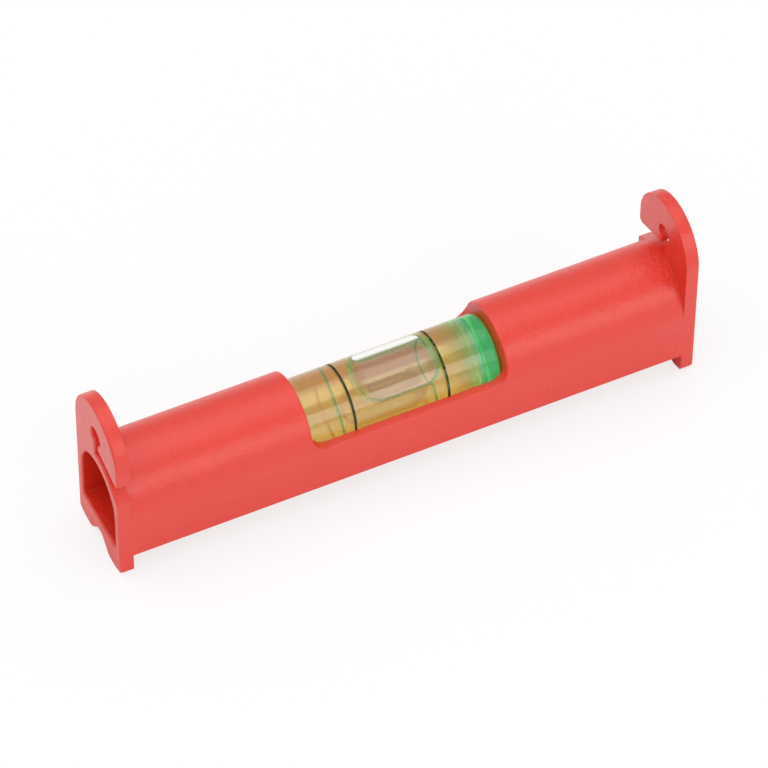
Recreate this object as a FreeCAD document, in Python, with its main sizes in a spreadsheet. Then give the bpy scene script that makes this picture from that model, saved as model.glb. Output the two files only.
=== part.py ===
import FreeCAD, Part
import os

import Sketcher

# Line level: a small bubble level that hangs on a tight string.
# A red moulding (an arched tube between two hooked end plates) carries a vial.
# Millimetres. +X runs along the level, +Z is up, and the feet stand on Z = 0.
# The origin lies midway between the end plates, under the middle of the tube.

DRIVING_SIZES = [
    # Moulding
    ("overall_length", 80.0),       # outer face to outer face of the end plates
    ("body_width", 12.6),           # tube and end plates, flush with each other
    ("spring_height", 7.2),         # upright side of the tube, below its arch
    ("foot_height", 3.0),           # end plates below the tube's underside
    ("plate_thickness", 1.85),
    ("plate_top_height", 15.85),    # centre of a plate's round top, above the tube's underside
    ("foot_corner_rise", 0.5),      # slanted outer corner of a foot, upwards
    ("foot_corner_run", 1.6),       # slanted outer corner of a foot, inwards
    ("notch_rise", 2.0),            # notch between the feet, above the feet's underside
    ("notch_top_width", 1.2),
    ("notch_mouth_width", 5.2),
    # Rounded edges of the moulding
    ("rim_round", 0.3),             # outer rims of the end plates and their hollows
    ("foot_round", 0.4),
    ("notch_mouth_round", 0.8),
    ("notch_top_round", 0.7),
    ("hook_tip_round", 0.6),
    ("lip_round", 0.4),
    ("underside_round", 0.3),
    ("window_round", 0.25),
    # String slot in each end plate
    ("hole_radius", 1.3),
    ("hole_height", 17.1),          # hole centre above the tube's underside
    ("neck_width", 0.9),            # narrow way from the slot into the hole
    ("slot_root_height", 15.1),     # slot's upper edge at the neck
    ("slot_mouth_height", 13.4),    # slot's upper edge at the plate's side
    ("lip_angle", 35.5),            # fall of the slot's lower lip beside the arch, degrees
    # Hollows of the tube
    ("tube_wall", 1.3),
    ("floor_thickness", 1.0),
    ("hollow_drop", 0.3),           # hollow's arch below the tube's arch
    ("hollow_corner_round", 0.6),   # lower corners of the hollows
    ("end_wall", 1.6),              # between each hollow and the window
    ("window_length", 26.9),
    ("window_corner", 2.4),
    ("sill_drop", 0.1),             # window sill below the arch's springing line
    # Vial
    ("seat_clearance", 0.06),       # vial to its seat, all round
    ("vial_end_gap", 0.35),         # vial's right end to the right end wall
    ("vial_wall", 0.75),
    ("barrel_rise", 0.12),          # the bore is this much wider at the lines' middle
    ("closed_end", 1.0),
    ("plug_flange", 2.05),
    ("plug_spigot", 0.5),
    ("plug_edge", 0.5),
    ("fill_clearance", 0.02),       # liquid and spigot to the bore
    ("bubble_length", 12.1),
    ("bubble_diameter", 7.2),       # round-ended bubble, cut off by the bore's top
    ("bubble_depth", 4.1),          # bubble's lowest point below the bore's top
    ("bubble_shift", 1.05),         # bubble's middle to the right of the lines' middle
    # Two reading lines round the vial
    ("line_spacing", 12.9),
    ("line_offset", -0.61),         # middle of the two lines, along X
    ("line_width", 0.34),
    ("line_depth", 0.12),
]

doc = FreeCAD.newDocument("LineLevel")
sheet = doc.addObject("Spreadsheet::Sheet", "Sizes")
for row, (alias, value) in enumerate(DRIVING_SIZES, start=1):
    sheet.set("A%d" % row, alias.replace("_", " "))
    sheet.set("B%d" % row, str(value))
    sheet.setAlias("B%d" % row, alias)
doc.recompute()


def size(alias):
    """Formula that reads one driving size."""
    return "Sizes." + alias


def value_of(formula):
    """The number that a formula gives now."""
    return float(sheet.evalExpression(formula))


# Formulas that several pieces share
ZERO = "(0 * Sizes.body_width)"
HALF_WIDTH = "(Sizes.body_width / 2)"
HALF_LENGTH = "(Sizes.overall_length / 2)"
TUBE_BOTTOM = size("foot_height")
AXIS_HEIGHT = "(Sizes.foot_height + Sizes.spring_height)"
TOP_CENTRE = "(Sizes.foot_height + Sizes.plate_top_height)"
HOLE_CENTRE = "(Sizes.foot_height + Sizes.hole_height)"
HALF_NECK = "(Sizes.neck_width / 2)"
HALF_WINDOW = "(Sizes.window_length / 2)"
SILL = "(%s - Sizes.sill_drop)" % AXIS_HEIGHT
LIP_Y = "(%s * sin(Sizes.lip_angle))" % HALF_WIDTH
LIP_Z = "(%s + %s * cos(Sizes.lip_angle))" % (AXIS_HEIGHT, HALF_WIDTH)
LIP_END = "(%s - (%s - %s) * tan(Sizes.lip_angle))" % (LIP_Z, HALF_WIDTH, LIP_Y)
CORE_RADIUS = "(Sizes.body_width / 2 - Sizes.tube_wall)"
VIAL_RADIUS = "(%s - Sizes.seat_clearance)" % CORE_RADIUS
BORE_RADIUS = "(%s - Sizes.vial_wall)" % VIAL_RADIUS
VIAL_RIGHT = "(Sizes.window_length / 2 - Sizes.vial_end_gap)"
VIAL_LEFT = "(2 * Sizes.line_offset - %s)" % VIAL_RIGHT
TUBE_END = "(%s - Sizes.plug_flange)" % VIAL_RIGHT
FILL_LEFT = "(%s + Sizes.closed_end)" % VIAL_LEFT
FILL_RIGHT = "(%s - Sizes.plug_spigot)" % TUBE_END
BARREL_CURVE = "((%s - Sizes.line_offset) ^ 2 / (2 * Sizes.barrel_rise) + Sizes.barrel_rise / 2)" % TUBE_END


def new_body(label):
    """An empty piece; its label names its file."""
    body = doc.addObject("PartDesign::Body", label)
    body.Label = label
    return body


def new_sketch(body, plane, label, offset=None):
    """A sketch on one of the body's own planes, moved along the plane's normal."""
    sketch = body.newObject("Sketcher::SketchObject", label)
    for feature in body.Origin.OriginFeatures:
        if feature.Role == plane:
            sketch.AttachmentSupport = [(feature, "")]
    sketch.MapMode = "FlatFace"
    if offset:
        sketch.setExpression("AttachmentOffset.Base.z", offset)
    return sketch


def bind(sketch, kind, where, formula):
    """One dimension of a sketch, bound to a formula."""
    number = sketch.addConstraint(Sketcher.Constraint(kind, *where, value_of(formula)))
    sketch.setExpression("Constraints[%d]" % number, formula)


def draw_axis(sketch, height):
    """Construction line along X, for a profile to be turned about."""
    start, end = FreeCAD.Vector(0, value_of(height), 0), FreeCAD.Vector(1, value_of(height), 0)
    line = sketch.addGeometry(Part.LineSegment(start, end), True)
    sketch.addConstraint(Sketcher.Constraint("Horizontal", line))
    bind(sketch, "DistanceX", (-1, 1, line, 1), ZERO)
    bind(sketch, "DistanceY", (-1, 1, line, 1), height)


def draw(sketch, corners):
    """Closed outline. A corner is (x, y), or (x, y, centre_x, centre_y, turn) where an arc
    about that centre leads to it, turn being 1 for anticlockwise and -1 for clockwise."""
    spots = [FreeCAD.Vector(value_of(c[0]), value_of(c[1]), 0) for c in corners]
    first = sketch.GeometryCount
    for index, corner in enumerate(corners):
        start, end = spots[index - 1], spots[index]
        if len(corner) == 2:
            sketch.addGeometry(Part.LineSegment(start, end), False)
            continue
        centre = FreeCAD.Vector(value_of(corner[2]), value_of(corner[3]), 0)
        middle = (start + end) / 2 - centre
        if middle.Length < 1e-6:
            middle = FreeCAD.Vector(start.y - centre.y, centre.x - start.x, 0) * -corner[4]
        side = (start - centre).cross(end - centre).z * corner[4]
        if side < -1e-6:
            middle = -middle
        middle.normalize()
        arc = Part.Arc(start, centre + middle * (start - centre).Length, end)
        sketch.addGeometry(arc, False)
    count = len(corners)
    for index, corner in enumerate(corners):
        line = first + index
        following = first + (index + 1) % count
        arc_end = 2 if len(corner) == 2 or corner[4] > 0 else 1
        next_corner = corners[(index + 1) % count]
        arc_start = 1 if len(next_corner) == 2 or next_corner[4] > 0 else 2
        sketch.addConstraint(Sketcher.Constraint("Coincident", line, arc_end, following, arc_start))
        bind(sketch, "DistanceX", (-1, 1, line, arc_end), corner[0])
        bind(sketch, "DistanceY", (-1, 1, line, arc_end), corner[1])
        if len(corner) == 5:
            chord = spots[index] - spots[index - 1]
            if abs(chord.x) > abs(chord.y):
                bind(sketch, "DistanceY", (-1, 1, line, 3), corner[3])
            else:
                bind(sketch, "DistanceX", (-1, 1, line, 3), corner[2])
    doc.recompute()


def draw_circle(sketch, height, radius):
    """A circle on the sketch's upright axis."""
    centre = FreeCAD.Vector(0, value_of(height), 0)
    circle = Part.Circle(centre, FreeCAD.Vector(0, 0, 1), value_of(radius))
    line = sketch.addGeometry(circle, False)
    bind(sketch, "DistanceX", (-1, 1, line, 3), ZERO)
    bind(sketch, "DistanceY", (-1, 1, line, 3), height)
    bind(sketch, "Radius", (line,), radius)
    doc.recompute()


def feature(body, kind, label, sketch, length, midplane=False, reverse=False):
    """A pad or pocket of a sketch; a pocket has to take material away."""
    before = body.Shape.Volume if body.Tip else 0.0
    made = body.newObject("PartDesign::" + kind, label)
    made.Profile = sketch
    made.Midplane = midplane
    made.Reversed = reverse
    made.setExpression("Length", length)
    doc.recompute()
    change = made.Shape.Volume - before
    if (kind == "Pad") != (change > 0.01):
        raise ValueError("%s changed the volume by %.3f" % (label, change))
    return made


def turned(body, kind, label, sketch, axis="H_Axis"):
    """A turned piece or groove, all round the X axis or a construction line."""
    before = body.Shape.Volume if body.Tip else 0.0
    made = body.newObject("PartDesign::" + kind, label)
    made.Profile = sketch
    made.ReferenceAxis = (sketch, [axis])
    made.Angle = 360.0
    doc.recompute()
    change = made.Shape.Volume - before
    if (kind == "Revolution") != (change > 0.001):
        raise ValueError("%s changed the volume by %.3f" % (label, change))
    return made


def arched(half_width, bottom, centre):
    """Outline of upright sides under a half-round arch, across the level."""
    return [
        ("-" + half_width, bottom),
        (half_width, bottom),
        (half_width, centre),
        ("-" + half_width, centre, "0", centre, 1),
    ]


def plate_outline():
    """End plate with a half-round top, two feet and a notch between them."""
    outline = arched(HALF_WIDTH, size("foot_corner_rise"), TOP_CENTRE)
    half_mouth = "(Sizes.notch_mouth_width / 2)"
    half_top = "(Sizes.notch_top_width / 2)"
    foot = "(Sizes.body_width / 2 - Sizes.foot_corner_run)"
    feet = [
        ("-" + foot, ZERO),
        ("-" + half_mouth, ZERO),
        ("-" + half_top, size("notch_rise")),
        (half_top, size("notch_rise")),
        (half_mouth, ZERO),
        (foot, ZERO),
    ]
    return outline[:1] + feet + outline[1:]


def slot_outline(side):
    """String slot: in from the plate's side over the arch, up a neck and round the hole.
    The side is + where it opens to the back and - where it opens to the front."""
    past = "(Sizes.body_width / 2 + Sizes.plate_thickness)"
    neck_top = "(%s - sqrt(Sizes.hole_radius ^ 2 - %s ^ 2))" % (HOLE_CENTRE, HALF_NECK)
    slope = "((Sizes.slot_root_height - Sizes.slot_mouth_height) / (%s - %s))" % (HALF_WIDTH, HALF_NECK)
    mouth_top = "(Sizes.foot_height + Sizes.slot_mouth_height - %s * Sizes.plate_thickness)" % slope
    lip_past = "(%s - Sizes.plate_thickness * tan(Sizes.lip_angle))" % LIP_END
    root = "(%s + sqrt(%s ^ 2 - %s ^ 2))" % (AXIS_HEIGHT, HALF_WIDTH, HALF_NECK)
    other = "-" if side == "+" else ""
    near = "" if side == "+" else "-"
    turn = 1 if side == "+" else -1
    return [
        (near + past, lip_past),
        (near + past, mouth_top),
        (near + HALF_NECK, "(Sizes.foot_height + Sizes.slot_root_height)"),
        (near + HALF_NECK, neck_top),
        (other + HALF_NECK, neck_top, "0", HOLE_CENTRE, turn),
        (other + HALF_NECK, root),
        (near + LIP_Y, LIP_Z, "0", AXIS_HEIGHT, -turn),
    ]


CLOSE = 0.001  # places nearer to each other than this are the same place


def same(first, second):
    """True where two places agree."""
    return abs(first - second) < CLOSE


def corner_edges(body, length, half_y, low_z):
    """Edges along X of one length, at +-half_y and low_z, on either side of the level."""
    names = []
    for index, edge in enumerate(body.Shape.Edges, start=1):
        box = edge.BoundBox
        straight = same(box.YLength, 0) and same(box.ZLength, 0) and same(box.XLength, value_of(length))
        if straight and same(abs(box.YMin), value_of(half_y)) and same(box.ZMin, value_of(low_z)):
            names.append("Edge%d" % index)
    return names


def rim_edges(body, end_x, tall):
    """Edges of the plate's contour (tall) or of its hollow's mouth, on one end face."""
    found = []
    for face in body.Shape.Faces:
        if same(face.BoundBox.XMin, end_x) and same(face.BoundBox.XMax, end_x):
            for wire in face.Wires:
                if (wire.BoundBox.ZLength > value_of("Sizes.plate_top_height")) == tall:
                    found += wire.Edges
    return [
        "Edge%d" % index
        for index, edge in enumerate(body.Shape.Edges, start=1)
        if any(edge.isSame(other) for other in found)
    ]


def window_edges(body):
    """Outer edges of the window, along the sill, round its corners and over the arch."""
    half_window, sill = value_of(HALF_WINDOW), value_of(SILL)
    seat_top = value_of("%s + %s" % (AXIS_HEIGHT, CORE_RADIUS))
    names = []
    for index, edge in enumerate(body.Shape.Edges, start=1):
        box = edge.BoundBox
        reach = max(abs(box.XMin), abs(box.XMax))
        within = reach < half_window + CLOSE and box.ZMin > sill - CLOSE
        outside = max(abs(box.YMin), abs(box.YMax)) > value_of(HALF_WIDTH) - CLOSE
        over = box.ZMax > seat_top + CLOSE
        if within and (over or outside and box.XLength > CLOSE):
            names.append("Edge%d" % index)
    return names


def round_edges(body, label, radius, names):
    """One rounding of some edges of the body."""
    if not names:
        raise ValueError("%s finds no edges" % label)
    rounded = body.Tip
    made = body.newObject("PartDesign::Fillet", label)
    made.Base = (rounded, names)
    made.setExpression("Radius", size(radius))
    doc.recompute()
    if not made.Shape.isValid():
        raise ValueError("%s failed" % label)
    return made


def make_body():
    """The red moulding: tube, end plates with string slots, hollows, window and vial seat."""
    body = new_body("body")

    section = new_sketch(body, "YZ_Plane", "tube_section")
    draw(section, arched(HALF_WIDTH, TUBE_BOTTOM, AXIS_HEIGHT))
    feature(body, "Pad", "tube", section, size("overall_length"), midplane=True)

    for end, sign, side in (("left", "-", "-"), ("right", "", "+")):
        face = new_sketch(body, "YZ_Plane", end + "_plate_outline", sign + HALF_LENGTH)
        draw(face, plate_outline())
        feature(body, "Pad", end + "_plate", face, size("plate_thickness"), reverse=(end == "right"))
        slot = new_sketch(body, "YZ_Plane", end + "_slot_outline", sign + HALF_LENGTH)
        draw(slot, slot_outline(side))
        feature(body, "Pocket", end + "_slot", slot, size("plate_thickness"), reverse=(end == "left"))

    depth = "%s - %s - Sizes.end_wall" % (HALF_LENGTH, HALF_WINDOW)
    hollow_floor = "(Sizes.foot_height + Sizes.floor_thickness)"
    hollow_centre = "(%s - Sizes.hollow_drop)" % AXIS_HEIGHT
    for end, sign in (("left", "-"), ("right", "")):
        hollow = new_sketch(body, "YZ_Plane", end + "_hollow_outline", sign + HALF_LENGTH)
        draw(hollow, arched(CORE_RADIUS, hollow_floor, hollow_centre))
        feature(body, "Pocket", end + "_hollow", hollow, depth, reverse=(end == "left"))

    seat = new_sketch(body, "YZ_Plane", "seat_circle", HALF_WINDOW)
    draw_circle(seat, AXIS_HEIGHT, CORE_RADIUS)
    seat_length = "%s - %s + Sizes.seat_clearance" % (HALF_WINDOW, VIAL_LEFT)
    feature(body, "Pocket", "vial_seat", seat, seat_length)

    window = new_sketch(body, "XZ_Plane", "window_outline")
    above = "(%s + Sizes.body_width)" % AXIS_HEIGHT
    corner_z = "(%s + Sizes.window_corner)" % SILL
    corner_x = "(Sizes.window_length / 2 - Sizes.window_corner)"
    draw(window, [
        ("-" + HALF_WINDOW, above),
        ("-" + HALF_WINDOW, corner_z),
        ("-" + corner_x, SILL, "-" + corner_x, corner_z, 1),
        (corner_x, SILL),
        (HALF_WINDOW, corner_z, corner_x, corner_z, 1),
        (HALF_WINDOW, above),
    ])
    feature(body, "Pocket", "window", window, "Sizes.body_width * 2", midplane=True)

    plate = size("plate_thickness")
    tube = "Sizes.overall_length - 2 * Sizes.plate_thickness"
    round_edges(body, "hollow_corner_rounds", "hollow_corner_round",
                corner_edges(body, depth, CORE_RADIUS, hollow_floor))
    round_edges(body, "foot_rounds", "foot_round",
                corner_edges(body, plate, HALF_WIDTH, size("foot_corner_rise")))
    round_edges(body, "notch_mouth_rounds", "notch_mouth_round",
                corner_edges(body, plate, "Sizes.notch_mouth_width / 2", ZERO))
    round_edges(body, "notch_top_rounds", "notch_top_round",
                corner_edges(body, plate, "Sizes.notch_top_width / 2", size("notch_rise")))
    round_edges(body, "hook_tip_rounds", "hook_tip_round",
                corner_edges(body, plate, HALF_WIDTH, "Sizes.foot_height + Sizes.slot_mouth_height"))
    round_edges(body, "lip_rounds", "lip_round", corner_edges(body, plate, HALF_WIDTH, LIP_END))
    round_edges(body, "underside_rounds", "underside_round",
                corner_edges(body, tube, HALF_WIDTH, TUBE_BOTTOM))
    for end, end_x in (("left", "-" + HALF_LENGTH), ("right", HALF_LENGTH)):
        for rim, tall in (("hollow", False), ("plate", True)):
            label = "%s_%s_rim" % (end, rim)
            round_edges(body, label, "rim_round", rim_edges(body, value_of(end_x), tall))
    round_edges(body, "window_rounds", "window_round", window_edges(body))
    return body


def make_vial_tube():
    """Clear tube, closed at its left end, with a barrel-shaped bore and two shallow grooves."""
    body = new_body("vial_tube")
    profile = new_sketch(body, "XZ_Plane", "tube_profile")
    draw(profile, [
        (VIAL_LEFT, ZERO),
        (FILL_LEFT, ZERO),
        (FILL_LEFT, barrel(FILL_LEFT, BORE_RADIUS)),
        (TUBE_END, BORE_RADIUS, *barrel_centre(BORE_RADIUS), -1),
        (TUBE_END, VIAL_RADIUS),
        (VIAL_LEFT, VIAL_RADIUS),
    ])
    turned(body, "Revolution", "tube_wall", profile)
    for end, sign in (("left", "-"), ("right", "+")):
        groove = new_sketch(body, "XZ_Plane", end + "_groove_profile")
        draw(groove, line_profile(sign))
        turned(body, "Groove", end + "_groove", groove)
    return body


def barrel_centre(radius):
    """Centre of the long arc that makes a bore widest midway between the reading lines."""
    return size("line_offset"), "(%s + Sizes.barrel_rise - %s)" % (radius, BARREL_CURVE)


def barrel(x, radius):
    """Radius at x of a bore that has the given radius at the tube's open end."""
    run = "(%s - Sizes.line_offset)" % x
    return "(%s + Sizes.barrel_rise - %s + sqrt(%s ^ 2 - %s ^ 2))" % (radius, BARREL_CURVE, BARREL_CURVE, run)


def line_profile(sign):
    """Section of a reading line, at the vial's surface."""
    middle = "Sizes.line_offset %s Sizes.line_spacing / 2" % sign
    left = "(%s - Sizes.line_width / 2)" % middle
    right = "(%s + Sizes.line_width / 2)" % middle
    low = "(%s - Sizes.line_depth)" % VIAL_RADIUS
    return [(left, low), (right, low), (right, VIAL_RADIUS), (left, VIAL_RADIUS)]


def make_reading_line(end, sign):
    """Black ring that fills one groove of the vial."""
    body = new_body("reading_line_" + end)
    profile = new_sketch(body, "XZ_Plane", end + "_line_profile")
    draw(profile, line_profile(sign))
    turned(body, "Revolution", end + "_line", profile)
    return body


def make_end_plug():
    """Green plug: a flange against the tube's end and a spigot in its bore."""
    body = new_body("vial_end_plug")
    spigot = "(%s - Sizes.fill_clearance)" % BORE_RADIUS
    edge_x = "(%s - Sizes.plug_edge)" % VIAL_RIGHT
    edge_z = "(%s - Sizes.plug_edge)" % VIAL_RADIUS
    profile = new_sketch(body, "XZ_Plane", "plug_profile")
    draw(profile, [
        (FILL_RIGHT, ZERO),
        (VIAL_RIGHT, ZERO),
        (VIAL_RIGHT, edge_z),
        (edge_x, VIAL_RADIUS, edge_x, edge_z, 1),
        (TUBE_END, VIAL_RADIUS),
        (TUBE_END, spigot),
        (FILL_RIGHT, spigot),
    ])
    turned(body, "Revolution", "plug", profile)
    return body


def make_liquid():
    """Liquid that fills the bore, with the bubble left out at the top."""
    body = new_body("vial_liquid")
    radius = "(%s - Sizes.fill_clearance)" % BORE_RADIUS
    profile = new_sketch(body, "XZ_Plane", "liquid_profile")
    draw(profile, [
        (FILL_LEFT, ZERO),
        (FILL_RIGHT, ZERO),
        (FILL_RIGHT, barrel(FILL_RIGHT, radius)),
        (FILL_LEFT, barrel(FILL_LEFT, radius), *barrel_centre(radius), 1),
    ])
    turned(body, "Revolution", "liquid", profile)

    radius = "(Sizes.bubble_diameter / 2)"
    middle = "(%s - Sizes.bubble_depth + %s)" % (BORE_RADIUS, radius)
    left = "(Sizes.line_offset + Sizes.bubble_shift - Sizes.bubble_length / 2)"
    right = "(Sizes.line_offset + Sizes.bubble_shift + Sizes.bubble_length / 2)"
    low = "(%s - %s)" % (middle, radius)
    round_left, round_right = "(%s + %s)" % (left, radius), "(%s - %s)" % (right, radius)
    bubble = new_sketch(body, "XZ_Plane", "bubble_profile")
    draw_axis(bubble, middle)
    draw(bubble, [
        (left, middle, round_left, middle, -1),
        (right, middle),
        (round_right, low, round_right, middle, -1),
        (round_left, low),
    ])
    turned(body, "Groove", "bubble", bubble, "Axis0")
    return body


pieces = [
    make_body(),
    make_vial_tube(),
    make_end_plug(),
    make_liquid(),
    make_reading_line("left", "-"),
    make_reading_line("right", "+"),
]
for piece in pieces[1:]:
    piece.setExpression("Placement.Base.z", AXIS_HEIGHT)
doc.recompute()

for item in doc.Objects:
    if "Invalid" in item.State or "Error" in item.State:
        raise ValueError("%s failed: %s" % (item.Label, item.State))
for piece in pieces:
    if piece.Shape.isNull() or not piece.Shape.isValid():
        raise ValueError("%s has no valid shape" % piece.Label)

os.makedirs("parts", exist_ok=True)
for piece in pieces:
    piece.Shape.exportStep("parts/%s.step" % piece.Label)
    box = piece.Shape.BoundBox
    print("%-20s %9.2f mm3  x %.2f..%.2f  y %.2f..%.2f  z %.2f..%.2f" % (
        piece.Label, piece.Shape.Volume, box.XMin, box.XMax, box.YMin, box.YMax, box.ZMin, box.ZMax))
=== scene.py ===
# %% [markdown]
# # A line level, dressed for its picture
# A line level hangs on a tight string between two points and shows whether the string
# is level. It is one red moulding that carries a small glass-clear vial.
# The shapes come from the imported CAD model, so this lesson adds what CAD leaves out:
# the plastic's skin, the clear vial with its liquid and bubble, the printed lines and
# the light. Every length is in metres, in the CAD model's own frame.

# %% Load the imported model
import math

import bmesh
import bpy
from mathutils import Matrix, Vector


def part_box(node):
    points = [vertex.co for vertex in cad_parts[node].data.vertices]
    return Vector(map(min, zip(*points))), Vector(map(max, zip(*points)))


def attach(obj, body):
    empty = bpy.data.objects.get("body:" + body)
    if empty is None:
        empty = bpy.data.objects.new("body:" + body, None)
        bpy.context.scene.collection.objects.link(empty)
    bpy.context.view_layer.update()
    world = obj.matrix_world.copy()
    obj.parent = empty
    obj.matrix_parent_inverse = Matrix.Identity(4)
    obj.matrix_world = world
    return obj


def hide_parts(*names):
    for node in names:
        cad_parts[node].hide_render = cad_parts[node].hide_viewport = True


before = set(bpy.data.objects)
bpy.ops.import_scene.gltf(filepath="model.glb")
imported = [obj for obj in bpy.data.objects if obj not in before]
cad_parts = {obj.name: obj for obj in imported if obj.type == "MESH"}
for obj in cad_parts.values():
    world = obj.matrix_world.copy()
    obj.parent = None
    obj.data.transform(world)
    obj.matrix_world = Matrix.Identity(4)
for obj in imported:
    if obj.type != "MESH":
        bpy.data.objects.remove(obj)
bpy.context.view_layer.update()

MM = 0.001
print("nodes:", sorted(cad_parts))

# %% [markdown]
# ## Camera
# The photograph looks down on the level from its front left with a long lens, so that
# parallel edges stay nearly parallel. A camera object looks along its own -Z axis, so
# its place, the way it looks and a small roll are all it needs.

# %% Camera
CAMERA_PLACE = Vector((-207.42154, -422.42604, 555.53971)) * MM
CAMERA_FORWARD = Vector((0.2869670, 0.5868325, -0.7571509))
CAMERA_RIGHT = Vector((0.9012229, -0.4333180, 0.0057270))
LENS_MM = 269.748
SENSOR_MM = 36.0
NEAR_CLIP = 50 * MM

camera_data = bpy.data.cameras.new("studio_camera")
camera_data.lens = LENS_MM
camera_data.sensor_width = SENSOR_MM
camera_data.clip_start = NEAR_CLIP
camera = bpy.data.objects.new("studio_camera", camera_data)
bpy.context.scene.collection.objects.link(camera)
backward = -CAMERA_FORWARD.normalized()
look_down = math.degrees(math.asin(backward.z))
sideways = CAMERA_RIGHT.normalized()
turn = Matrix((sideways, backward.cross(sideways), backward)).transposed()
camera.matrix_world = Matrix.Translation(CAMERA_PLACE) @ turn.to_4x4()
bpy.context.scene.camera = camera
print("camera looks down %.1f degrees" % look_down)

# %% [markdown]
# ## Floor and light
# A small glossy product is shown best in even, soft light, because each lamp is mirrored
# in it. The world is the large white room. One wide lamp above gives the shapes their
# gentle shading, and a lower one in front gives the long highlight on the shoulder and
# the vial. The room is brighter for the camera than for the level, so that the background
# is pure white and the lamps still shape the red. The floor is made white in the same
# way, for the camera and for what is seen through the vial, and it keeps its shadow.

# %% Helpers for materials
WHITE = (1.0, 1.0, 1.0, 1.0)


def new_material(name):
    """An empty material with its output node."""
    material = bpy.data.materials.new(name)
    material.use_nodes = True
    tree = material.node_tree
    tree.nodes.clear()
    output = tree.nodes.new("ShaderNodeOutputMaterial")
    return material, tree, output


def add_node(tree, kind, **sockets):
    """A node with some of its input sockets set; in their names _ stands for a space."""
    node = tree.nodes.new(kind)
    for socket, value in sockets.items():
        node.inputs[socket.replace("_", " ")].default_value = value
    return node


# %% World
ROOM_LIGHT = 0.69
ROOM_SEEN = 1.0

world = bpy.data.worlds.new("white_room")
bpy.context.scene.world = world
world.use_nodes = True
sky = world.node_tree
sky.nodes.clear()
sky_out = sky.nodes.new("ShaderNodeOutputWorld")
room = add_node(sky, "ShaderNodeBackground", Color=WHITE, Strength=ROOM_LIGHT)
seen = add_node(sky, "ShaderNodeBackground", Color=WHITE, Strength=ROOM_SEEN)
sky_path = sky.nodes.new("ShaderNodeLightPath")
sky_mix = sky.nodes.new("ShaderNodeMixShader")
sky.links.new(sky_path.outputs["Is Camera Ray"], sky_mix.inputs[0])
sky.links.new(room.outputs[0], sky_mix.inputs[1])
sky.links.new(seen.outputs[0], sky_mix.inputs[2])
sky.links.new(sky_mix.outputs[0], sky_out.inputs["Surface"])
scene = bpy.context.scene
scene.view_settings.view_transform = "Standard"
print("the room lights with strength %.2f and is seen with %.2f" % (ROOM_LIGHT, ROOM_SEEN))

# %% Lamps
TOP_PLACE, TOP_SIZE, TOP_POWER = (-0.10, 0.10, 0.64), (0.90, 0.90), 2.3
FRONT_PLACE, FRONT_SIZE, FRONT_POWER = (0.172, -0.504, 0.276), (0.60, 0.35), 0.85


def add_lamp(name, place, size, power):
    """A flat, wide lamp that faces the level."""
    lamp_data = bpy.data.lights.new(name, "AREA")
    lamp_data.shape = "RECTANGLE"
    lamp_data.size, lamp_data.size_y = size
    lamp_data.energy = power
    lamp = bpy.data.objects.new(name, lamp_data)
    scene.collection.objects.link(lamp)
    lamp.location = place
    lamp.rotation_euler = (-Vector(place)).to_track_quat("-Z", "Y").to_euler()
    print(name, "is %.2f m away" % Vector(place).length)


add_lamp("top_lamp", TOP_PLACE, TOP_SIZE, TOP_POWER)
add_lamp("front_lamp", FRONT_PLACE, FRONT_SIZE, FRONT_POWER)

# %% Floor
FLOOR_SIDE = 4.0
FLOOR_DROP = 0.02 * MM
FLOOR_GREY = (0.93, 0.93, 0.93, 1.0)
FLOOR_ROUGHNESS = 0.9
SHADOW_SHARE = 0.25

bpy.ops.object.select_all(action="DESELECT")
bpy.ops.mesh.primitive_plane_add(size=FLOOR_SIDE, location=(0, 0, -FLOOR_DROP))
floor = bpy.context.object
floor.name = "pale_floor"
floor_paint, floor_tree, floor_out = new_material("pale_floor_paint")
floor_cover = add_node(
    floor_tree, "ShaderNodeBsdfPrincipled", Base_Color=FLOOR_GREY, Roughness=FLOOR_ROUGHNESS)
floor_white = add_node(floor_tree, "ShaderNodeEmission", Color=WHITE, Strength=ROOM_SEEN)
floor_path = floor_tree.nodes.new("ShaderNodeLightPath")
floor_seen = add_node(floor_tree, "ShaderNodeMath")
floor_seen.operation = "MAXIMUM"
floor_share = add_node(floor_tree, "ShaderNodeMath")
floor_share.operation = "MULTIPLY"
floor_share.inputs[1].default_value = 1.0 - SHADOW_SHARE
floor_mix = floor_tree.nodes.new("ShaderNodeMixShader")
floor_tree.links.new(floor_path.outputs["Is Camera Ray"], floor_seen.inputs[0])
floor_tree.links.new(floor_path.outputs["Is Transmission Ray"], floor_seen.inputs[1])
floor_tree.links.new(floor_seen.outputs[0], floor_share.inputs[0])
floor_tree.links.new(floor_share.outputs[0], floor_mix.inputs[0])
floor_tree.links.new(floor_cover.outputs[0], floor_mix.inputs[1])
floor_tree.links.new(floor_white.outputs[0], floor_mix.inputs[2])
floor_tree.links.new(floor_mix.outputs[0], floor_out.inputs["Surface"])
floor.data.materials.append(floor_paint)
print("floor is %.0f m wide" % FLOOR_SIDE)

# %% [markdown]
# ## The red moulding
# The body is one injection moulding, so the CAD node stays as it is and only its skin
# is made here. Such plastic is neither matt nor glossy: the mould's fine texture
# scatters the highlight, and the colour varies a little where the melt flowed. Noise
# in Object coordinates gives both, at the scale of the real grain.

# %% Moulded red plastic
RED = (0.78, 0.032, 0.012, 1.0)
RED_DEEP = (0.70, 0.022, 0.008, 1.0)
FLOW_SCALE = 320.0
PIT_SCALE = 900.0
GRAIN_SCALE = 2600.0
RED_ROUGH_LOW, RED_ROUGH_HIGH = 0.24, 0.38
RED_IOR = 1.66
SOFT_EDGE = 0.15 * MM
BUMP_STRENGTH = 0.8
BUMP_DEPTH = 0.07 * MM

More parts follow.
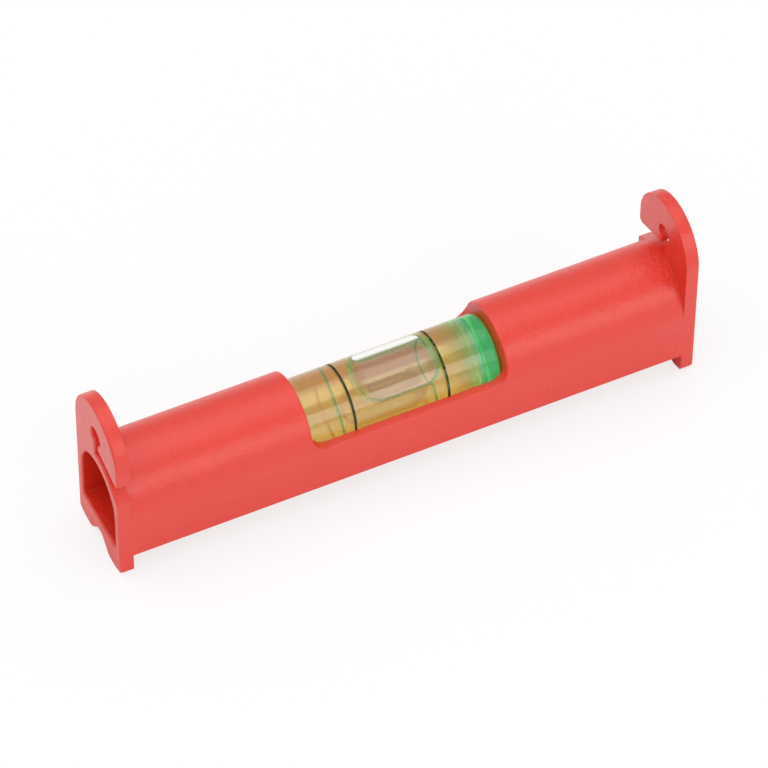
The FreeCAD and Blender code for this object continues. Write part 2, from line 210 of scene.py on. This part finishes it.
red_plastic, red, red_out = new_material("moulded_red_plastic")
red_place = red.nodes.new("ShaderNodeTexCoord")
red_flow = add_node(red, "ShaderNodeTexNoise", Scale=FLOW_SCALE, Detail=5.0, Roughness=0.65)
red_grain = add_node(red, "ShaderNodeTexNoise", Scale=GRAIN_SCALE, Detail=4.0, Roughness=0.6)
red_pits = add_node(red, "ShaderNodeTexNoise", Scale=PIT_SCALE, Detail=2.0, Roughness=0.5)
for texture in (red_flow, red_grain, red_pits):
    red.links.new(red_place.outputs["Object"], texture.inputs["Vector"])
red_tint = red.nodes.new("ShaderNodeMix")
red_tint.data_type = "RGBA"
# A Mix node holds its two colours in sockets 6 and 7, and the mixed one in output 2
red_tint.inputs[6].default_value = RED
red_tint.inputs[7].default_value = RED_DEEP
red.links.new(red_flow.outputs["Fac"], red_tint.inputs[0])
red_rough = add_node(red, "ShaderNodeMapRange", To_Min=RED_ROUGH_LOW, To_Max=RED_ROUGH_HIGH)
red.links.new(red_pits.outputs["Fac"], red_rough.inputs["Value"])
red_height = add_node(red, "ShaderNodeMath")
red_height.operation = "ADD"
red.links.new(red_grain.outputs["Fac"], red_height.inputs[0])
red.links.new(red_pits.outputs["Fac"], red_height.inputs[1])
red_bevel = add_node(red, "ShaderNodeBevel", Radius=SOFT_EDGE)
red_bump = add_node(red, "ShaderNodeBump", Strength=BUMP_STRENGTH, Distance=BUMP_DEPTH)
red.links.new(red_height.outputs[0], red_bump.inputs["Height"])
red.links.new(red_bevel.outputs["Normal"], red_bump.inputs["Normal"])
red_skin = add_node(red, "ShaderNodeBsdfPrincipled", IOR=RED_IOR)
red.links.new(red_tint.outputs[2], red_skin.inputs["Base Color"])
red.links.new(red_rough.outputs[0], red_skin.inputs["Roughness"])
red.links.new(red_bump.outputs["Normal"], red_skin.inputs["Normal"])
red.links.new(red_skin.outputs[0], red_out.inputs["Surface"])

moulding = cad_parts["body"]
moulding.data.materials.clear()
moulding.data.materials.append(red_plastic)
print("body", len(moulding.data.polygons), "faces")

# %% [markdown]
# ## The vial
# The vial is a clear acrylic tube with a barrel-shaped bore, closed at its left end by
# its own wall and at its right end by a green plug. Clear things are all about their
# surfaces: light bends at each one. So the tube has a real bore, and the liquid
# reaches a hair's breadth into the tube's wall, because a thin gap of air there would
# mirror the light as it doesn't in the real vial, where the liquid wets the wall.

# %% Sizes of the vial, read from the CAD nodes
tube_low, tube_high = (Vector(corner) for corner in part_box("vial_tube"))
plug_low, plug_high = (Vector(corner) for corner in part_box("vial_end_plug"))
fill_low, fill_high = (Vector(corner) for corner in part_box("vial_liquid"))
AXIS_Z = (tube_low.z + tube_high.z) / 2
TUBE_RADIUS = (tube_high.z - tube_low.z) / 2
VIAL_WALL = 0.75 * MM
BORE_RADIUS = TUBE_RADIUS - VIAL_WALL
BARREL_RISE = 0.12 * MM
line_ends = [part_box("reading_line_" + side) for side in ("left", "right")]
LINES_MIDDLE = sum(corner[0] for box in line_ends for corner in box) / 4
SIDES = 160
print("vial radius %.2f mm, axis %.2f mm high, lines' middle at X %.2f mm" % (
    TUBE_RADIUS / MM, AXIS_Z / MM, LINES_MIDDLE / MM))

# %% Helpers for modelling
SAME_PLACE = 0.001 * MM
ALONG_X = 0.99
QUARTER_TURN = math.pi / 2
SMOOTH_BELOW = math.radians(35)


def start_cylinder(name, left, right, radius):
    """A cylinder along X, in edit mode, with all of it deselected."""
    bpy.ops.object.select_all(action="DESELECT")
    bpy.ops.mesh.primitive_cylinder_add(
        vertices=SIDES, radius=radius, depth=right - left,
        location=((left + right) / 2, 0, AXIS_Z), rotation=(0, QUARTER_TURN, 0))
    piece = bpy.context.object
    piece.name = name
    piece.data.name = name
    bpy.ops.object.transform_apply(location=True, rotation=True, scale=True)
    bpy.ops.object.mode_set(mode="EDIT")
    bpy.ops.mesh.select_all(action="DESELECT")
    return piece


def pick(kind, test):
    """Select just the faces or edges that pass the test."""
    bpy.ops.mesh.select_mode(type=kind)
    bpy.ops.mesh.select_all(action="DESELECT")
    mesh = bmesh.from_edit_mesh(bpy.context.object.data)
    for item in mesh.faces if kind == "FACE" else mesh.edges:
        if test(item):
            item.select_set(True)
    mesh.select_flush(True)
    bmesh.update_edit_mesh(bpy.context.object.data)


def end_face(x):
    """A test for the flat face across the tube at x."""
    def test(face):
        return abs(face.calc_center_median().x - x) < SAME_PLACE and abs(face.normal.x) > ALONG_X
    return test


def finish_piece(piece, material, slot, *nodes):
    """Leave edit mode, smooth the round faces, and give the piece its finish and node."""
    bpy.ops.object.mode_set(mode="OBJECT")
    bpy.ops.object.shade_smooth_by_angle(angle=SMOOTH_BELOW)
    piece.data.materials.clear()
    piece.data.materials.append(material)
    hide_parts(*nodes)
    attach(piece, "root")
    print(piece.name, len(piece.data.polygons), "faces")


# %% [markdown]
# ## Clear materials
# Glass in Cycles stops the rays that look for lamps, so what lies behind it would be
# too dark. Letting those rays pass, with a Light Path node, lights the seat under the
# vial as in the real one, and changes nothing in how the surface bends light. The dyes
# take up some colours of light on the way through. Each clear stuff also has a painted
# glow: it gives off a little light in its own colour, though it is no lamp.

# %% Clear acrylic and the level's liquid
ACRYLIC_IOR = 1.49
LIQUID_IOR = 1.39


def new_dyed_material(name, ior, dye, density, painted_glow, strength):
    """A clear stuff that lets lamps through, takes up some light and gives off a painted glow."""
    material, tree, output = new_material(name)
    glass = add_node(
        tree, "ShaderNodeBsdfPrincipled",
        Base_Color=WHITE, IOR=ior, Roughness=0.0, Transmission_Weight=1.0)
    passing = add_node(tree, "ShaderNodeBsdfTransparent", Color=WHITE)
    path = tree.nodes.new("ShaderNodeLightPath")
    mix = tree.nodes.new("ShaderNodeMixShader")
    tree.links.new(path.outputs["Is Shadow Ray"], mix.inputs[0])
    tree.links.new(glass.outputs[0], mix.inputs[1])
    tree.links.new(passing.outputs[0], mix.inputs[2])
    tree.links.new(mix.outputs[0], output.inputs["Surface"])
    taking = add_node(tree, "ShaderNodeVolumeAbsorption", Color=dye, Density=density)
    # Painted glow: an emission in the volume, so the stuff gives off light though it is no lamp
    painted_glow_light = add_node(tree, "ShaderNodeEmission", Color=painted_glow, Strength=strength)
    both = tree.nodes.new("ShaderNodeAddShader")
    tree.links.new(taking.outputs[0], both.inputs[0])
    tree.links.new(painted_glow_light.outputs[0], both.inputs[1])
    tree.links.new(both.outputs[0], output.inputs["Volume"])
    return material


# The last two values of each call set the colour and strength of its painted glow
acrylic = new_dyed_material(
    "clear_acrylic", ACRYLIC_IOR,
    dye=(0.90, 1.0, 0.80, 1.0), density=10.0, painted_glow=(0.85, 1.0, 0.20, 1.0), strength=24.0)
liquid_stuff = new_dyed_material(
    "yellow_green_liquid", LIQUID_IOR,
    dye=(0.90, 0.91, 0.18, 1.0), density=130.0, painted_glow=(0.38, 0.40, 0.04, 1.0), strength=42.0)
print("clear stuffs:", acrylic.name, liquid_stuff.name)

# %% [markdown]
# ## Clear tube
# The tube starts as a solid cylinder, as a turner would start from a rod. Its right end
# face is inset by the wall's thickness and pushed in, a little at a time and a little
# wider each time up to the reading lines' middle, which leaves the barrel-shaped bore
# that makes the bubble settle between the lines.

# %% Clear tube
BORE_STEPS = 24


def barrel(x):
    """How much wider the barrel-shaped bore is at x than at the tube's open end."""
    share = (x - LINES_MIDDLE) / (tube_high.x - LINES_MIDDLE)
    return BARREL_RISE * (1 - share * share)


def extrude_barrel(start, end, radius):
    """Push the selected end face along X in steps, following the barrel's shape."""
    step = (end - start) / BORE_STEPS
    for number in range(BORE_STEPS):
        before = radius + barrel(start + number * step)
        after = radius + barrel(start + (number + 1) * step)
        bpy.ops.mesh.extrude_region_move(TRANSFORM_OT_translate={"value": (step, 0, 0)})
        bpy.ops.transform.resize(value=(1, after / before, after / before), center_override=(0, 0, AXIS_Z))


tube = start_cylinder("clear_tube", tube_low.x, tube_high.x, TUBE_RADIUS)
pick("FACE", end_face(tube_high.x))
bpy.ops.mesh.inset(thickness=TUBE_RADIUS - BORE_RADIUS, depth=0)
extrude_barrel(tube_high.x, fill_low.x, BORE_RADIUS)
finish_piece(tube, acrylic, "clear_acrylic", "vial_tube")

# %% [markdown]
# ## Liquid and bubble
# The liquid is turned in the same steps. The bubble is a closed hollow inside it: its
# faces point into the air, because the outside of the liquid is there too. A ball is
# drawn out to the bubble's length and to a section wider than it is deep, as the
# liquid's weight spreads it under the bore's top. Where it would reach into the tube it
# is pushed back, so a thin film of liquid stays on the wall, as in a real vial.

# %% Liquid
WETTING = 0.03 * MM

bpy.ops.mesh.primitive_circle_add(
    vertices=SIDES, radius=BORE_RADIUS + WETTING + barrel(fill_high.x), fill_type="NGON",
    location=(fill_high.x + WETTING, 0, AXIS_Z), rotation=(0, QUARTER_TURN, 0))
liquid = bpy.context.object
liquid.name = "level_liquid"
bpy.ops.object.transform_apply(location=True, rotation=True, scale=True)
bpy.ops.object.mode_set(mode="EDIT")
bpy.ops.mesh.select_all(action="SELECT")
bpy.ops.mesh.extrude_region_move(TRANSFORM_OT_translate={"value": (-WETTING, 0, 0)})
extrude_barrel(fill_high.x, fill_low.x, BORE_RADIUS + WETTING)
bpy.ops.mesh.extrude_region_move(TRANSFORM_OT_translate={"value": (-WETTING, 0, 0)})
bpy.ops.mesh.select_all(action="SELECT")
bpy.ops.mesh.normals_make_consistent(inside=False)
bpy.ops.object.mode_set(mode="OBJECT")
print("liquid reaches %.2f mm into the tube's wall" % (WETTING / MM))

# %% Bubble
BUBBLE_LENGTH = 12.1 * MM
BUBBLE_SHIFT = 1.05 * MM
BUBBLE_END = 3.2 * MM
BUBBLE_HALF_WIDTH = 3.6 * MM
BUBBLE_HALF_HEIGHT = 2.2 * MM
BUBBLE_HEIGHT = 2.3 * MM
FILM = 0.03 * MM
NEAR_MIDDLE = 0.001
BUBBLE_MIDDLE = LINES_MIDDLE + BUBBLE_SHIFT
STRAIGHT = BUBBLE_LENGTH / 2 - BUBBLE_END

bpy.ops.object.select_all(action="DESELECT")
bpy.ops.mesh.primitive_uv_sphere_add(
    segments=128, ring_count=96, radius=1.0, rotation=(0, QUARTER_TURN, 0))
bubble = bpy.context.object
bubble.name = "bubble_hollow"
bpy.ops.object.transform_apply(location=True, rotation=True, scale=True)
for vertex in bubble.data.vertices:
    x, y, z = vertex.co
    y, z = BUBBLE_HALF_WIDTH * y, BUBBLE_HALF_HEIGHT * z + BUBBLE_HEIGHT
    if abs(x) > NEAR_MIDDLE:
        x += math.copysign(STRAIGHT / BUBBLE_END, x)
    x = x * BUBBLE_END + BUBBLE_MIDDLE
    roof = BORE_RADIUS + barrel(x) - FILM
    share = min(1, roof / math.hypot(y, z))
    vertex.co = (x, y * share, AXIS_Z + z * share)
bpy.ops.object.mode_set(mode="EDIT")
bpy.ops.mesh.select_all(action="SELECT")
bpy.ops.mesh.normals_make_consistent(inside=True)
bpy.ops.object.mode_set(mode="OBJECT")
bpy.ops.object.shade_smooth()
print("bubble %.1f mm long, middle at X %.2f mm" % (BUBBLE_LENGTH / MM, BUBBLE_MIDDLE / MM))

# %% Join bubble and liquid
bpy.ops.object.select_all(action="DESELECT")
bubble.select_set(True)
liquid.select_set(True)
bpy.context.view_layer.objects.active = liquid
bpy.ops.object.join()
finish_piece(liquid, liquid_stuff, "vial_liquid", "vial_liquid")

# %% [markdown]
# ## Reading lines
# The lines are bands of black ink round the tube. Each is a thin ring that reaches a
# little into the acrylic, so that it is dark from inside the vial as well.

# %% Reading lines
BLACK = (0.012, 0.010, 0.009, 1.0)
INK_SCALE = 3000.0
INK_ROUGH_LOW, INK_ROUGH_HIGH = 0.35, 0.65
INK_DEPTH = 0.10 * MM

ink, ink_tree, ink_out = new_material("black_ink")
ink_place = ink_tree.nodes.new("ShaderNodeTexCoord")
ink_noise = add_node(ink_tree, "ShaderNodeTexNoise", Scale=INK_SCALE, Detail=3.0)
ink_tree.links.new(ink_place.outputs["Object"], ink_noise.inputs["Vector"])
ink_rough = add_node(ink_tree, "ShaderNodeMapRange", To_Min=INK_ROUGH_LOW, To_Max=INK_ROUGH_HIGH)
ink_tree.links.new(ink_noise.outputs["Fac"], ink_rough.inputs["Value"])
ink_skin = add_node(ink_tree, "ShaderNodeBsdfPrincipled", Base_Color=BLACK)
ink_tree.links.new(ink_rough.outputs[0], ink_skin.inputs["Roughness"])
ink_tree.links.new(ink_skin.outputs[0], ink_out.inputs["Surface"])

for side in ("left", "right"):
    low, high = (Vector(corner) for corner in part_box("reading_line_" + side))
    ring = start_cylinder("printed_line_" + side, low.x, high.x, TUBE_RADIUS)
    pick("FACE", end_face(high.x))
    bpy.ops.mesh.inset(thickness=INK_DEPTH, depth=0)
    bpy.ops.mesh.delete(type="FACE")
    pick("FACE", end_face(low.x))
    bpy.ops.mesh.inset(thickness=INK_DEPTH, depth=0)
    bpy.ops.mesh.delete(type="FACE")
    pick("EDGE", lambda edge: edge.is_boundary)
    bpy.ops.mesh.bridge_edge_loops()
    bpy.ops.mesh.select_all(action="SELECT")
    bpy.ops.mesh.normals_make_consistent(inside=False)
    finish_piece(ring, ink, "black_ink", "reading_line_" + side)

# %% [markdown]
# ## Green plug
# The plug closes the vial. Its flange shows as a green band at the vial's right end, and
# its short spigot reaches into the bore. It overlaps the tube and the liquid by a hair,
# for the same reason as the liquid does.

# %% Green plug
SPIGOT_OVERLAP = 0.02 * MM
PLUG_EDGE = 0.5 * MM
FLANGE = tube_high.x - SPIGOT_OVERLAP

# The plug's last two values set a painted glow: green light given off though it is no lamp
green = new_dyed_material(
    "green_acrylic", ACRYLIC_IOR,
    dye=(0.05, 0.75, 0.30, 1.0), density=200.0, painted_glow=(0.12, 0.92, 0.38, 1.0), strength=45.0)
plug = start_cylinder("green_end_plug", FLANGE, plug_high.x, TUBE_RADIUS)
pick("FACE", end_face(FLANGE))
bpy.ops.mesh.inset(thickness=TUBE_RADIUS - BORE_RADIUS - SPIGOT_OVERLAP, depth=0)
bpy.ops.mesh.extrude_region_move(TRANSFORM_OT_translate={"value": (plug_low.x - FLANGE, 0, 0)})
pick("EDGE", lambda edge: all(abs(end.co.x - plug_high.x) < SAME_PLACE for end in edge.verts))
bpy.ops.mesh.bevel(offset=PLUG_EDGE, segments=6)
finish_piece(plug, green, "green_acrylic", "vial_end_plug")
